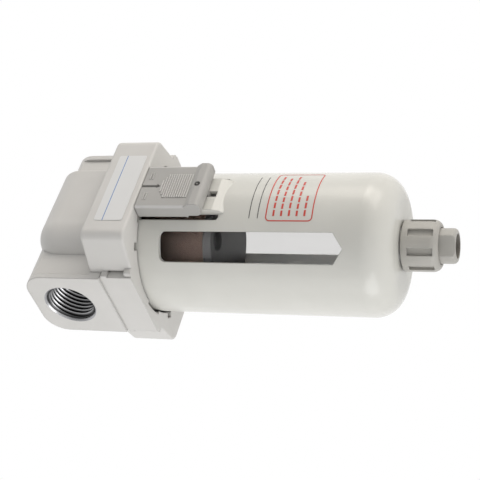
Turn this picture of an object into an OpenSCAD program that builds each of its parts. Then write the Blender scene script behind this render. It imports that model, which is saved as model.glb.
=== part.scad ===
// Compressed air filter, 1/2 inch ports, with a twist-off bowl in a moulded guard.
// Units are millimetres. The origin is the centre of the flat top of the body,
// +Z points up, X runs along the ports (air enters at -X) and the front faces -Y.
// An angle "turn" is measured round Z from the front towards +X.

/* [Body casting] */
// Distance across the two port faces
body_w = 70; // [68:1:80]
// Depth of the collar, front to back
body_d = 70; // [69:1:80]
// Depth of each port flange, front to back
flange_w = 35.2; // [32:0.1:38]
// Height of each port flange, from the top face down
flange_h = 36.2; // [34:0.1:38]
// Thickness of the rim at the end of each flange, which a spacer clamps
flange_rim = 2.4; // [2:0.1:4]
// Depth of the groove behind the rim
flange_groove = 1; // [0.4:0.1:1.4]
// Radius of the rounded top corners of the port flanges
flange_corner_r = 9.4; // [6:0.2:12]
// Distance from the axis of the bowl to the tower's inlet side
tower_inlet_x = 22; // [21.5:0.5:24]
// Distance from the axis of the bowl to the tower's outlet side
tower_outlet_x = 20; // [19.5:0.5:22]
// Depth of the tower, front to back
tower_d = 49; // [48:1:54]
// Radius of the tower's long top edges and of its inlet corners
tower_r = 11.5; // [9:0.5:12]
// Rounding of the tower's outlet edges
tower_edge_r = 1.2; // [0.6:0.1:2]
// Distance from the top face down to the collar
collar_drop = 31.2; // [30:0.1:34]
// Height of the collar that takes the bowl
collar_h = 19; // [18:0.5:24]
// Width of the flat front of the collar
collar_front_w = 54; // [50:1:58]
// Width of the collar across its sides, beside the pads
collar_side_w = 62.8; // [61:0.2:65]
// Radius of the front and back corners of the collar
collar_corner_r = 4; // [3:0.5:6]
// Rounding of the top and bottom edges of the collar
collar_edge_r = 1; // [0.4:0.1:1.4]
// Step from each port face in to the pad below it
pad_step = 1; // [0.6:0.1:1.4]
// Width of the groove between each pad and the collar's corner
pad_groove = 1.2; // [0.8:0.1:1.4]
// Height of the web that closes the foot of that groove
pad_web_h = 2.8; // [2:0.1:5]

/* [Ports and mounting holes] */
// Major diameter of the port thread, G 1/2
port_thread_d = 20.955; // [18:0.005:21]
// Depth of the port thread
port_thread_len = 16; // [12:0.5:17]
// Diameter of the chamfer at the mouth of each port
port_mouth_d = 22.4; // [21.5:0.1:23]
// Distance from the top face down to the port axis
port_drop = 16.4; // [16:0.1:18]
// Bore of the air passages inside the body
passage_d = 15; // [12:0.5:15]
// Tapping bore of the two bracket screws, M4
bracket_hole_d = 3.3; // [2.5:0.1:4.2]
// Depth of the bracket screw holes
bracket_hole_len = 6.5; // [5:0.5:7]
// Distance between the bracket screws
bracket_pitch = 24; // [20:1:26]

/* [Bowl guard] */
// Outer diameter of the guard at its top
guard_d = 58.4; // [57:0.1:59]
// Wall of the guard
guard_wall = 2; // [1.6:0.1:2.4]
// Length of the guard below the collar
guard_len = 102.2; // [95:0.1:120]
// Reduction of the guard's radius over its length
guard_draft = 0.3; // [0:0.1:1]
// Radius of the rounded bottom corner of the guard
guard_corner_r = 10.9; // [8:0.1:14]
// Width of each sight window
window_w = 12.2; // [8:0.1:14]
// Length of the straight sides of each sight window
window_len = 72; // [50:1:76]
// Distance from the collar down to the windows
window_drop = 9.1; // [7:0.1:12]
// Depth of the pointed lower end of each window
window_tip = 3.9; // [1:0.1:5]
// Turn of the first window, the other one is opposite
window_turn = -44; // [-46:1:-42]

/* [Bayonet] */
// Number of bayonet lugs
lug_count = 4; // [4:1:4]
// Height of the bayonet lugs
lug_h = 3.2; // [2.6:0.1:3.4]
// Reach of the lugs beyond the guard's wall
lug_reach = 1.6; // [1.3:0.1:1.7]
// Half of the angle that one lug spans
lug_half_angle = 9; // [6:1:10]
// Turn that unlocks the bowl
unlock_turn = 45; // [40:1:45]
// Turn of the first slot that lets a lug out
slot_turn = -15; // [-16:1:-14]
// Free play round the lugs
lug_play = 0.3; // [0.3:0.05:0.4]

/* [Lock button] */
// Width of the lock button
button_w = 22.6; // [22:0.2:24]
// Height of the lock button
button_h = 27.9; // [27.4:0.1:28.4]
// Step from the collar's front back to the button's face
button_inset = 0.3; // [0:0.1:0.6]
// Travel of the lock button
button_travel = 3; // [2:0.1:3]
// Height of the finger lip at the button's foot
lip_h = 6.5; // [5.5:0.1:7]
// Reach of the finger lip beyond the button's face
lip_reach = 1.4; // [0.6:0.1:2]
// Number of grip ribs on the button
rib_count = 13; // [5:1:13]
// Distance from one grip rib to the next
rib_pitch = 1; // [0.9:0.05:1]
// Width of the tongue that the button slides on
tongue_w = 17; // [15:0.5:17]
// Thickness of the tongue
tongue_t = 3; // [2.4:0.1:3.1]
// Width of the pocket in the guard round the tongue
pocket_w = 22.2; // [21:0.2:24]
// Depth of the pocket below the collar
pocket_drop = 33.8; // [33.4:0.1:36]
// Outer diameter of the lock spring
lock_spring_d = 2.6; // [2:0.1:2.8]
// Wire of the lock spring
lock_wire_d = 0.4; // [0.3:0.05:0.5]

/* [Bowl] */
// Wall of the clear bowl
bowl_wall = 2.4; // [2:0.1:2.8]
// Gap between the bowl and the guard
bowl_gap = 0.8; // [0.5:0.1:0.9]
// Thickness of the bowl's floor
bowl_floor = 3; // [2.4:0.1:4]
// Section of the bowl's O-ring
bowl_ring_d = 2; // [1.6:0.1:2.2]

/* [Filter cartridge] */
// Outer diameter of the filter element
element_d = 34; // [28:0.5:36]
// Wall of the filter element
element_wall = 4.5; // [3:0.5:6]
// Length of the filter element
element_len = 33.8; // [30:0.1:40]
// Thickness of the gaskets at the element's ends
gasket_t = 1.2; // [0.8:0.1:1.6]
// Outer diameter of the baffle
baffle_d = 40.6; // [37:0.2:44]
// Height of the baffle's disc
baffle_h = 4.2; // [3.6:0.1:6]
// Number of round recesses in the underside of the baffle
baffle_recesses = 3; // [2:1:4]
// Number of swirl vanes on the deflector
vane_count = 12; // [8:1:16]
// Thickness of each swirl vane
vane_t = 1.2; // [0.8:0.1:1.6]
// Lean of the swirl vanes
vane_lean = 38; // [25:1:45]
// Height of the swirl deflector
deflector_h = 9; // [7:0.5:10]
// Diameter of the tie stud
stud_d = 5; // [4:0.5:6]

/* [Drain] */
// Outer diameter of the drain knob
knob_d = 20.6; // [19:0.1:23]
// Height of the drain knob
knob_h = 14.4; // [14.2:0.1:18]
// Number of grip slots round the knob
knob_slots = 8; // [6:1:12]
// Width of each grip slot
knob_slot_w = 3; // [2:0.1:3.4]
// Outer diameter of the drain barrel
barrel_d = 11; // [10.8:0.1:11.4]
// Outer diameter of the outlet
outlet_d = 14; // [13.6:0.1:14.6]
// Width of the outlet across its two spanner flats
outlet_flats = 11.4; // [11.2:0.1:12.4]
// Distance that the outlet stands below the knob
outlet_len = 6.3; // [6:0.1:9]
// Major diameter of the outlet's thread, G 1/8
outlet_thread_d = 9.728; // [9:0.001:9.8]
// Depth of the outlet's thread
outlet_thread_len = 6; // [5:0.1:7]
// Diameter of the drain valve's stem
stem_d = 3; // [2.6:0.1:3.4]
// Lift of the drain valve
valve_lift = 1.5; // [0.8:0.1:1.6]

/* [Label] */
// Width of the name label
label_w = 35.8; // [20:0.2:40]
// Height of the name label
label_h = 12.4; // [8:0.2:13]
// Distance that the label sits to the inlet's side of the middle
label_shift = 0.9; // [0:0.1:2]

/* [Hidden] */
$fn = 96;

cast_grey = "#c9c6bf";
guard_white = "#d5d6d0";
button_grey = "#a9a9ab";
knob_grey = "#a2a19b";
black_plastic = "#4a4a4c";
bronze = "#7a5848";
clear_blue = "#dfe8ea";
steel = "#b9bcc0";
rubber = "#2b2b2c";
brass = "#c2a55a";
paper_white = "#f2f2f0";

eps = 0.01;
cut = 1;
body_clearance = 0.3;       // between bodies that move past each other
running_clearance = 0.08;   // between a shaft and its bore
thread_clearance = 0.05;    // between a thread and the thread that it screws into

// Levels of the body, from the top face down
collar_top_z = -collar_drop;
collar_z = -collar_drop - collar_h;
port_z = -port_drop;
pad_w = flange_w - 0.4;
ear_h = 2.6;
ear_z = -flange_h - 0.7 - ear_h;

// Bayonet and seal inside the collar
guard_r = guard_d / 2;
ring_r = guard_r + 0.7;
lug_r = guard_r + lug_reach;
gallery_r = lug_r + lug_play + 0.1;
ring_h = 3.6;
ring_top_z = collar_z + ring_h;
lug_z = ring_top_z + lug_play;
guard_top_z = lug_z + lug_h + 0.5;
bowl_flange_t = 3;
bowl_flange_z = guard_top_z + bowl_flange_t;
gallery_top_z = bowl_flange_z + body_clearance;
bowl_r = guard_r - guard_wall - bowl_gap;
seal_r = bowl_r + 0.1;
neck_h = 5.6;
bowl_top_z = bowl_flange_z + neck_h;
seal_top_z = bowl_top_z + 0.4;

// Central boss of the body, which carries the filter cartridge
chamber_r = 22.2;
chamber_ceiling_z = seal_top_z + 5.6;
boss_r = 11;
boss_z = seal_top_z - 0.6;
passage_r = passage_d / 2;
stud_r = stud_d / 2;
web_w = 2.6;
web_h = 6;
web_z = boss_z + 3;
web_hub_r = stud_r + 1.6;

// Filter cartridge, stacked downwards from the boss
deflector_gasket_z = boss_z - gasket_t;
deflector_hub_t = 3;
deflector_hub_z = deflector_gasket_z - deflector_hub_t;
neck_inner_r = bowl_r - 3.6;
deflector_r = neck_inner_r - 0.5;
element_top_z = deflector_hub_z - gasket_t;
element_r = element_d / 2;
element_inner_r = element_r - element_wall;
element_z = element_top_z - element_len;
baffle_top_z = element_z - gasket_t;
baffle_r = baffle_d / 2;
baffle_z = baffle_top_z - baffle_h;
baffle_hub_h = 7;
baffle_hub_r = 6.2;
baffle_nut_h = 4;
baffle_nut_d = 9.2;
baffle_nut_z = baffle_top_z + baffle_hub_h - baffle_nut_h - 0.3;
stud_z = baffle_top_z + 0.6;
stud_len = web_z + web_h - 1 - stud_z;

// Guard and bowl
guard_z = collar_z - guard_len;
guard_low_r = guard_r - guard_draft;
guard_corner_z = guard_z + guard_corner_r;
bowl_z = guard_z + guard_wall;
bowl_corner_r = guard_corner_r - guard_wall + 1;
bowl_corner_z = bowl_z + bowl_corner_r;
bowl_low_r = guard_low_r - guard_wall - bowl_gap;
window_top_z = collar_z - window_drop;
window_corner_r = 2.4;

// Lock button, tongue and pocket
tongue_back = bowl_r + 0.6;
tongue_front = tongue_back + tongue_t;
tongue_z = collar_z - pocket_drop + 2.4;
pocket_z = collar_z - pocket_drop;
button_reach = body_d / 2 - button_inset;
button_top_z = collar_z - body_clearance;
button_z = button_top_z - button_h;
button_inner_w = tongue_w + 2 * 0.35;
button_back = tongue_back + 1.3;
button_edge_r = 1;
lip_top_z = button_z + lip_h;
lip_front = button_reach + lip_reach;
lip_back = button_back + 1.25;
spring_r = lock_spring_d / 2;
spring_y = tongue_front + 0.35 + spring_r + 0.3;
spring_ledge_z = collar_z - 20.5;
spring_ledge_t = 1.5;
spring_seat_z = collar_z - 9;
spring_len = spring_seat_z - spring_ledge_z;
spring_turns = 7;
guide_w = 2.4;
guide_head_w = 4.6;
guide_head_t = 0.8;
guide_h = 3.4;
guide_z = tongue_z + 0.3 + button_travel;
pocket_root = 2;
pocket_corner_r = 1.2;

// Drain, hung in the floors of the bowl and the guard
barrel_r = barrel_d / 2;
barrel_bore_r = 3;
barrel_hole_r = barrel_r + thread_clearance;
bowl_floor_z = bowl_z + bowl_floor;
drain_nut_h = 4;
drain_nut_d = 19;
drain_nut_z = bowl_floor_z + gasket_t;
barrel_top_z = drain_nut_z + drain_nut_h + 0.7;
shoulder_r = barrel_r + 2.5;
shoulder_t = 1.6;
shoulder_z = guard_z - shoulder_t;
knob_top_z = guard_z - 0.6;
knob_z = knob_top_z - knob_h;
knob_r = knob_d / 2;
knob_bore_r = barrel_r + running_clearance;
knob_mouth_r = outlet_d / 2 + 0.35;
outlet_top_z = knob_z + 2.2;
outlet_z = knob_z - outlet_len;
knob_seat_z = outlet_top_z + body_clearance;
spigot_r = 4.4;
spigot_h = 2.6;
pin_r = 0.9;
pin_half_len = barrel_r + 2.1;
knob_turn = 150;
cam_steps = 14;
pin_z = outlet_top_z + spigot_h + pin_r + 1;
track_play = 0.4;
track_z = pin_z - pin_r - track_play;
track_h = 2 * (pin_r + track_play);
track_r = pin_half_len + track_play;
stem_r = stem_d / 2;
stem_z = pin_z - 1.9;
seal_t = 1.3;
valve_seal_z = barrel_top_z + 0.1;
stem_head_z = valve_seal_z + seal_t;
stem_head_t = 1.5;
stem_head_r = 4.4;
outlet_bore_r = 3.4;
outlet_turn = -41;
knob_ring_r = 0.55;
knob_ring_z = shoulder_z - 2.3;

// ---------- shared shapes ----------

module ring(r_out, r_in, h) {
    difference() {
        cylinder(r = r_out, h = h);
        translate([0, 0, -cut]) cylinder(r = r_in, h = h + 2 * cut);
    }
}

// A rectangle centred on X, hanging below the X axis, with rounded top corners
module rounded_top(w, h, r) {
    translate([-w / 2, -h]) square([w, h - r]);
    translate([-w / 2 + r, -h]) square([w - 2 * r, h]);
    for (side = [-1, 1]) translate([side * (w / 2 - r), -r]) circle(r);
}

module rounded_rectangle(w, d, r) {
    square([w - 2 * r, d], center = true);
    square([w, d - 2 * r], center = true);
    for (x = [-1, 1], y = [-1, 1])
        translate([x * (w / 2 - r), y * (d / 2 - r)]) circle(r);
}

// A prism along X whose outline is drawn in the YZ plane
module along_x(len) {
    translate([-len / 2, 0, 0]) rotate([90, 0, 90]) linear_extrude(len) children();
}

// A prism along Y from y = -far to y = -near, whose outline is drawn in the XZ plane
module along_front(near, far) {
    translate([0, -near, 0]) rotate([90, 0, 0]) linear_extrude(far - near) children();
}

// A wedge that spans half_angle to each side of the front
module front_wedge(r, half_angle, h) {
    reach = 1.2 * r;
    linear_extrude(h)
        polygon([[0, 0], [-reach * tan(half_angle), -reach], [reach * tan(half_angle), -reach]]);
}

// ---------- body ----------

module collar_post(x, y, r) {
    edge = min(collar_edge_r, r - 0.2);
    translate([x, y, collar_z + edge]) cylinder(r = r, h = collar_h - 2 * edge, $fn = 32);
    for (step = [0:3]) {
        sink = edge * (1 - cos(step * 30));
        rise = edge * (1 - sin(step * 30));
        translate([x, y, collar_z + rise]) cylinder(r = r - sink, h = collar_h - 2 * rise, $fn = 32);
    }
}

module collar_block() {
    side_r = 1;
    side_y = pad_w / 2 + pad_groove - side_r + 0.4;
    hull() {
        for (x = [-1, 1], y = [-1, 1]) {
            collar_post(x * (collar_front_w / 2 - collar_corner_r + 0.4),
                y * (body_d / 2 - collar_corner_r), collar_corner_r);
            collar_post(x * (collar_side_w / 2 - side_r), y * side_y, side_r);
        }
    }
}

module port_flanges() {
    groove_len = body_w - 2 * flange_rim;
    difference() {
        along_x(body_w) rounded_top(flange_w, flange_h, flange_corner_r);
        for (y = [-1, 1])
            translate([-groove_len / 2, y * flange_w / 2 - flange_groove, -collar_drop])
                cube([groove_len, 2 * flange_groove, collar_drop + cut]);
    }
}

// One inlet corner of the tower: an upright round post with a ball top
module tower_corner() {
    rotate_extrude($fn = 72) polygon(concat(
        [[0, -flange_h], [0, 0]],
        [for (a = [6:6:90]) [tower_r * sin(a), tower_r * (cos(a) - 1)]],
        [[tower_r, -flange_h]]));
}

module tower() {
    hull() {
        for (y = [-1, 1])
            translate([tower_r - tower_inlet_x, y * (tower_d / 2 - tower_r), 0]) tower_corner();
        for (a = [0:30:90]) {
            inset = tower_edge_r * (1 - cos(a));
            translate([tower_outlet_x - tower_edge_r * (1 - sin(a)) - eps / 2, 0, -inset]) along_x(eps)
                rounded_top(tower_d - 2 * inset, flange_h - inset, tower_r - inset);
        }
    }
}

// The pad under each port face, with a small ear at its top and a web at its foot
module side_pads() {
    pad_x = body_w / 2 - pad_step;
    ear_reach = 0.9;
    web_reach = 2.2;
    translate([-pad_x, -pad_w / 2, collar_z]) cube([2 * pad_x, pad_w, collar_h]);
    translate([-pad_x, -pad_w / 2 - ear_reach, ear_z])
        cube([2 * pad_x, pad_w + 2 * ear_reach, ear_h]);
    translate([0, 0, collar_z]) linear_extrude(pad_web_h)
        rounded_rectangle(2 * pad_x - 1.2, pad_w + 2 * web_reach, 1);
}

module pad_grooves() {
    groove_x = collar_side_w / 2 - 2.6;
    groove_depth = 10;
    groove_z = collar_z + pad_web_h;
    for (x = [-1, 1], y = [-1, 1]) {
        translate([x * (groove_x + groove_depth / 2), y * (pad_w + pad_groove) / 2,
            (groove_z + ear_z) / 2])
            cube([groove_depth, pad_groove, ear_z - groove_z], center = true);
    }
}

// Small notches in the rim round the guard, which lead a fitting tool
module rim_notches() {
    notch_w = 3.2;
    notch_h = 1.2;
    for (turn = [-44, 44, 136, 224])
        rotate([0, 0, turn]) translate([-notch_w / 2, -ring_r - 2.4, collar_z - cut])
            cube([notch_w, 4, notch_h + cut]);
}

// The space that takes the bowl's neck and the guard's lugs
module bowl_cavity() {
    rotate_extrude() polygon([
        [boss_r, chamber_ceiling_z], [chamber_r, chamber_ceiling_z], [chamber_r, seal_top_z],
        [seal_r, seal_top_z], [seal_r, gallery_top_z], [gallery_r, gallery_top_z],
        [gallery_r, ring_top_z], [ring_r, ring_top_z], [ring_r, collar_z - cut],
        [0, collar_z - cut], [0, boss_z], [boss_r, boss_z]]);
    slot_h = ring_h + 2 * cut;
    for (i = [0:lug_count - 1])
        rotate([0, 0, slot_turn + i * 360 / lug_count]) translate([0, 0, collar_z - cut])
            intersection() {
                cylinder(r = lug_r + lug_play, h = slot_h);
                front_wedge(gallery_r, lug_half_angle + 1.5, slot_h);
            }
}

// Threaded ports, the way down into the bowl and the way back up through the boss
module air_passages() {
    mouth_r = port_mouth_d / 2;
    thread_r = port_thread_d / 2;
    mouth_t = mouth_r - thread_r;
    inlet_end = passage_r + 6.5;
    elbow = passage_r - 1;
    down_r = (chamber_r - boss_r) / 2 - 0.5;
    down_h = port_z - chamber_ceiling_z + down_r / 2;
    for (side = [-1, 1]) translate([side * body_w / 2, 0, port_z]) rotate([0, -90 * side, 0]) {
        cylinder(r = thread_r, h = port_thread_len);
        translate([0, 0, -eps]) cylinder(r1 = mouth_r + eps, r2 = thread_r, h = mouth_t + eps);
    }
    translate([-body_w / 2 + 1, 0, port_z]) rotate([0, 90, 0])
        cylinder(r = passage_r + 1, h = body_w / 2 - 1 - inlet_end);
    for (turn = [-38, 0, 38])
        rotate([0, 0, turn]) translate([-(chamber_r + boss_r) / 2, 0, chamber_ceiling_z - cut])
            cylinder(r = down_r, h = down_h + cut);
    translate([-elbow, 0, port_z]) rotate([0, 90, 0])
        cylinder(r = passage_r, h = body_w / 2 - 1 + elbow);
    difference() {
        translate([0, 0, boss_z - cut]) cylinder(r = passage_r, h = port_z - boss_z + elbow / 2);
        translate([-passage_d, -web_w / 2, web_z]) cube([2 * passage_d, web_w, web_h]);
        translate([0, 0, web_z]) cylinder(r = web_hub_r, h = web_h);
    }
    translate([0, 0, web_z - cut]) cylinder(r = stud_r + thread_clearance, h = web_h + 2 * cut);
}

module bracket_holes() {
    for (side = [-1, 1]) translate([side * bracket_pitch / 2, 0, -bracket_hole_len])
        cylinder(d = bracket_hole_d, h = bracket_hole_len + cut);
}

module body() {
    color(cast_grey) difference() {
        union() {
            port_flanges();
            tower();
            collar_block();
            side_pads();
        }
        pad_grooves();
        rim_notches();
        bowl_cavity();
        air_passages();
        bracket_holes();
    }
}

module name_label() {
    color(paper_white) translate([-label_shift, 0, collar_z + 2.6])
        along_front(body_d / 2, body_d / 2 + 0.2)
            translate([0, label_h / 2]) rounded_rectangle(label_w, label_h, 0.8);
}

// ---------- filter cartridge ----------

module deflector_gasket() {
    color(rubber) translate([0, 0, deflector_gasket_z])
        ring(boss_r - 0.4, passage_r + 0.6, gasket_t);
}

// A cap over the element, joined to a rim by leaning vanes that set the air spinning
module swirl_deflector() {
    skirt_t = 1.1;
    skirt_r = element_r + 0.4 + skirt_t;
    rim_t = 1;
    low_z = deflector_gasket_z - deflector_h;
    color(black_plastic) {
        translate([0, 0, deflector_hub_z]) ring(skirt_r, passage_r + 0.6, deflector_hub_t);
        translate([0, 0, low_z]) ring(skirt_r, skirt_r - skirt_t, deflector_h);
        translate([0, 0, low_z]) ring(deflector_r, deflector_r - rim_t, deflector_h);
        intersection() {
            translate([0, 0, low_z])
                ring(deflector_r - rim_t / 2, skirt_r - skirt_t / 2, deflector_h);
            for (i = [0:vane_count - 1])
                rotate([0, 0, i * 360 / vane_count])
                    translate([0, -skirt_r / 2, low_z + deflector_h / 2]) rotate([0, vane_lean, 0])
                        translate([-vane_t / 2, -deflector_r, -deflector_h])
                            cube([vane_t, deflector_r, 2 * deflector_h]);
        }
    }
}

module upper_element_gasket() {
    color(rubber) translate([0, 0, element_top_z])
        ring(min(element_r, boss_r + 1), passage_r + 1.4, gasket_t);
}

module filter_element() {
    cap_t = 1.4;
    color(bronze) {
        translate([0, 0, element_z]) ring(element_r, element_inner_r, element_len);
        translate([0, 0, element_top_z - cap_t]) ring(element_r, passage_r + 1.4, cap_t);
    }
}

module lower_element_gasket() {
    color(rubber) translate([0, 0, baffle_top_z])
        ring(element_r, element_inner_r, gasket_t);
}

// Disc under the element, with a hub that reaches up inside it and takes the stud's nut
module baffle() {
    bevel = 0.5;
    recess_r = 4.4;
    recess_depth = 2.4;
    recess_reach = 13.6;
    color(black_plastic) difference() {
        union() {
            rotate_extrude() polygon([
                [0, baffle_top_z], [baffle_r - bevel, baffle_top_z], [baffle_r, baffle_top_z - bevel],
                [baffle_r, baffle_z + bevel], [baffle_r - bevel, baffle_z], [0, baffle_z]]);
            translate([0, 0, baffle_top_z - cut]) cylinder(r = baffle_hub_r, h = baffle_hub_h + cut);
        }
        translate([0, 0, stud_z - 0.3])
            cylinder(r = stud_r + thread_clearance, h = baffle_hub_h + 2 * cut);
        translate([0, 0, baffle_nut_z - 0.05])
            cylinder(d = baffle_nut_d + 2 * thread_clearance, h = baffle_nut_h + 2 * cut, $fn = 6);
        for (i = [0:baffle_recesses - 1])
            rotate([0, 0, -36 + i * 360 / baffle_recesses]) translate([0, -recess_reach, baffle_z - cut])
                cylinder(r = recess_r, h = recess_depth + cut);
    }
}

module baffle_nut() {
    color(brass) translate([0, 0, baffle_nut_z]) difference() {
        cylinder(d = baffle_nut_d, h = baffle_nut_h, $fn = 6);
        translate([0, 0, -cut]) cylinder(r = stud_r + thread_clearance, h = baffle_nut_h + 2 * cut);
    }
}

module tie_stud() {
    color(steel) translate([0, 0, stud_z]) cylinder(r = stud_r, h = stud_len);
}

// ---------- bowl ----------

module bowl_o_ring() {
    ring_r_mid = seal_r - thread_clearance - bowl_ring_d / 2;
    color(rubber) translate([0, 0, bowl_flange_z + neck_h / 2])
        rotate_extrude() translate([ring_r_mid, 0]) circle(d = bowl_ring_d);
}

// Outline of a round-bottomed vessel, drawn beside its axis
module vessel_outline(top_z, top_r, low_r, corner_r, floor_z) {
    corner_z = floor_z + corner_r;
    polygon([[0, top_z], [top_r, top_z], [low_r, corner_z], [0, corner_z]]);
    translate([0, floor_z]) square([low_r - corner_r, corner_r + eps]);
    translate([low_r - corner_r, corner_z]) circle(corner_r);
}

module bowl() {
    groove_h = bowl_ring_d + 0.8;
    groove_r = seal_r - thread_clearance - bowl_ring_d - 0.05;
    inner_corner_r = bowl_corner_r - bowl_wall;
    color(clear_blue, 0.35) difference() {
        union() {
            rotate_extrude()
                vessel_outline(bowl_top_z, bowl_r, bowl_low_r, bowl_corner_r, bowl_z);
            translate([0, 0, guard_top_z]) cylinder(r = guard_r - 0.2, h = bowl_flange_t);
        }
        rotate_extrude() {
            vessel_outline(guard_top_z - 2, bowl_r - bowl_wall, bowl_low_r - bowl_wall,
                inner_corner_r, bowl_floor_z);
            translate([0, guard_top_z - 3]) square([neck_inner_r, bowl_top_z - guard_top_z + 4]);
        }
        translate([0, 0, bowl_flange_z + (neck_h - groove_h) / 2])
            ring(bowl_r + cut, groove_r, groove_h);
        translate([0, 0, bowl_z - cut]) cylinder(r = barrel_hole_r, h = bowl_floor + 2 * cut);
    }
}

module window_outline() {
    low_z = window_top_z - window_len;
    translate([0, window_top_z]) rounded_top(window_w, window_len, window_corner_r);
    polygon([[-window_w / 2, low_z + eps], [window_w / 2, low_z + eps], [0, low_z - window_tip]]);
}

// The flat tongue in the guard's pocket, with the slot and the ledge that guide the button
module tongue() {
    slot_h = guide_z + guide_h + body_clearance - tongue_z;
    difference() {
        union() {
            along_x(tongue_w) polygon([
                [-tongue_front, collar_z - body_clearance], [-tongue_back, collar_z - body_clearance],
                [-tongue_back, pocket_z - 2], [-guard_r + 1, pocket_z - 2],
                [-guard_r, pocket_z - 0.5], [-tongue_front, tongue_z]]);
            translate([-guide_w / 2, -spring_y - spring_r, spring_ledge_z - spring_ledge_t])
                cube([guide_w, spring_y + spring_r - tongue_back - eps, spring_ledge_t]);
        }
        translate([-guide_w / 2 - body_clearance, -tongue_front - cut, tongue_z])
            cube([guide_w + 2 * body_clearance, tongue_t + 2 * cut, slot_h]);
        translate([-guide_head_w / 2 - body_clearance, -tongue_back - guide_head_t - 0.4, tongue_z])
            cube([guide_head_w + 2 * body_clearance, guide_head_t + 0.4 + cut, slot_h]);
    }
}

// The cut round the tongue, which leaves the tongue's root in the wall above it
module pocket_cut() {
    depth = guard_r - bowl_r + 5;
    cut_h = pocket_drop + 0.3;
    difference() {
        translate([0, 0, pocket_z]) along_front(guard_r + cut - depth, guard_r + cut) {
            translate([0, cut_h / 2 + pocket_corner_r]) square([pocket_w, cut_h - 2 * pocket_corner_r],
                center = true);
            translate([0, cut_h / 2]) rounded_rectangle(pocket_w, cut_h, pocket_corner_r);
        }
        translate([-tongue_w / 2, -guard_r - 2 * cut, collar_z - pocket_root])
            cube([tongue_w, depth + 2 * cut, pocket_root + cut]);
    }
}

module bowl_guard() {
    color(guard_white) {
        difference() {
            union() {
                rotate_extrude()
                    vessel_outline(guard_top_z, guard_r, guard_low_r, guard_corner_r, guard_z);
                for (i = [0:lug_count - 1])
                    rotate([0, 0, slot_turn - unlock_turn + i * 360 / lug_count]) intersection() {
                        translate([0, 0, lug_z]) cylinder(r = lug_r, h = lug_h);
                        translate([0, 0, lug_z]) front_wedge(lug_r, lug_half_angle, lug_h);
                    }
            }
            rotate_extrude()
                vessel_outline(guard_top_z + cut, guard_r - guard_wall, guard_low_r - guard_wall,
                    guard_corner_r - guard_wall, bowl_z);
            for (side = [0, 180])
                rotate([0, 0, window_turn + side]) along_front(guard_r - 8, guard_r + 4)
                    window_outline();
            pocket_cut();
            translate([0, 0, guard_z - cut]) cylinder(r = barrel_hole_r, h = guard_wall + 2 * cut);
        }
        tongue();
    }
}

// ---------- lock button ----------

// The bar that passes through the tongue's slot, with a head that keeps the button on
module button_guide() {
    head_y = tongue_back + 0.1;
    translate([-guide_w / 2, -tongue_front - cut, guide_z])
        cube([guide_w, tongue_front + cut - head_y, guide_h]);
    translate([-guide_head_w / 2, -head_y - guide_head_t, guide_z])
        cube([guide_head_w, guide_head_t, guide_h]);
}

// Side view of the button's foot, which flares out into a rounded lip for the finger
module lip_outline() {
    front_r = 2;
    back_r = 2.3;
    hull() {
        translate([front_r - lip_front, button_z + front_r]) circle(front_r);
        translate([-lip_back - back_r, button_z + back_r]) circle(back_r);
    }
    polygon([[button_edge_r - button_reach, lip_top_z + cut], [-button_back - cut, lip_top_z + cut],
        [-button_back, lip_top_z], [-lip_back, lip_top_z - 0.8], [-lip_back, button_z + back_r],
        [-lip_front, button_z + front_r], [-lip_front, lip_top_z - 2.2], [-button_reach, lip_top_z]]);
}

// The slit in the button's face, which ends in an arrowhead that points down
module arrow_slit() {
    slit_w = 1.2;
    slit_h = 6.5;
    head_w = 2.4;
    head_h = 1.7;
    translate([-slit_w / 2, button_top_z - slit_h]) square([slit_w, slit_h + cut]);
    polygon([[-head_w / 2, button_top_z - slit_h], [0, button_top_z - slit_h - head_h],
        [head_w / 2, button_top_z - slit_h]]);
}

// Raised marks on the button's face: grip ribs, and two short bars beside the slit
module button_marks() {
    rib_w = 12.6;
    rib_r = 0.35;
    bar_w = 3.6;
    for (i = [0:rib_count - 1]) {
        w = rib_w * min(1, 0.5 + 0.25 * (rib_count - 1 - i));
        translate([-w / 2, -button_reach, lip_top_z + 0.6 + i * rib_pitch])
            rotate([0, 90, 0]) cylinder(r = rib_r, h = w, $fn = 16);
    }
    for (x = [-1, 1], z = [2.6, 3.7])
        translate([x * 5.6 - bar_w / 2, -button_reach - 0.25, button_top_z - z]) cube([bar_w, 1, 0.5]);
}

module lock_button() {
    cavity_w = lock_spring_d + 0.8;
    cavity_front = spring_y + spring_r + 0.35;
    dimple_z = lip_top_z - 3.1;
    color(button_grey) difference() {
        union() {
            translate([0, 0, lip_top_z]) linear_extrude(button_top_z - lip_top_z)
                translate([0, -(button_reach + button_back) / 2])
                    rounded_rectangle(button_w, button_reach - button_back, button_edge_r);
            along_x(button_w) lip_outline();
            button_marks();
        }
        translate([-button_inner_w / 2, -tongue_front - 0.35, button_z - cut])
            cube([button_inner_w, tongue_front + 0.35 - button_back + cut, button_h + 2 * cut]);
        translate([-cavity_w / 2, -cavity_front, spring_ledge_z - spring_ledge_t - 0.6])
            cube([cavity_w, cavity_front - tongue_front, spring_len + spring_ledge_t + 0.6]);
        along_front(button_reach - 0.9, button_reach + cut) arrow_slit();
        translate([0, 0, dimple_z]) along_front(lip_front - 1.1, lip_front + cut) difference() {
            circle(1.2);
            circle(0.5);
        }
    }
    color(button_grey) button_guide();
}

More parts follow.
